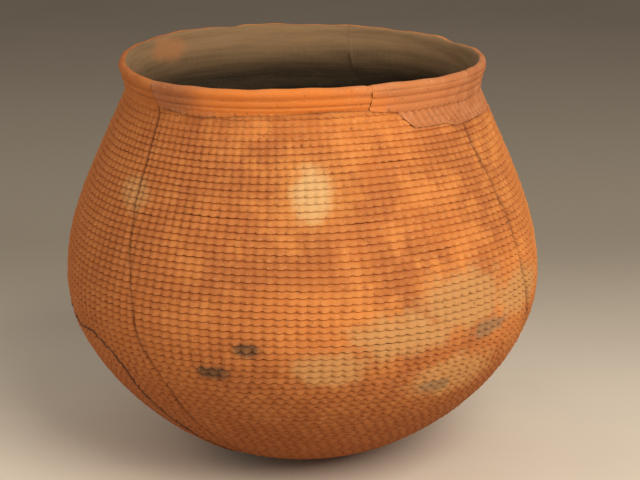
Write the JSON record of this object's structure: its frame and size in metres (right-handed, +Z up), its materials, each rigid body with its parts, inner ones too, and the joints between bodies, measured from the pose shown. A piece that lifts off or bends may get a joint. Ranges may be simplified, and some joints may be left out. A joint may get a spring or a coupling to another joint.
{
  "type": "corrugated olla",
  "caption": "Wide-mouthed round-bottomed clay jar with a coiled, finger-indented outer wall and a smooth flared rim, mended from sherds, for cooking or storage.",
  "frame": {"origin": "on the ground under the middle of the base, at the centre of the flat spot that the jar rests on", "axes": "+Z up along the jar's axis, -Y towards the side with the pale oval fire cloud, +X to the right seen from there"},
  "size_m": [0.3616, 0.3616, 0.311],
  "materials": {
    "corrugated_clay": "unglazed fired clay with coil courses, orange with buff and grey fire clouds",
    "rim_clay": "unglazed fired clay, wiped smooth, pinkish orange",
    "base_clay": "unglazed fired clay, rubbed and darkened"
  },
  "bodies": {
    "root": {"base_sherd": "base_clay", "front_wall_sherd": "corrugated_clay", "left_wall_sherd": "corrugated_clay", "lower_left_sherd": "corrugated_clay", "right_wall_sherd": "corrugated_clay", "right_back_wall_sherd": "corrugated_clay", "left_back_wall_sherd": "corrugated_clay", "front_rim_sherd": "rim_clay", "front_right_rim_sherd": "rim_clay", "right_rim_sherd": "rim_clay"}
  },
  "joints": []
}
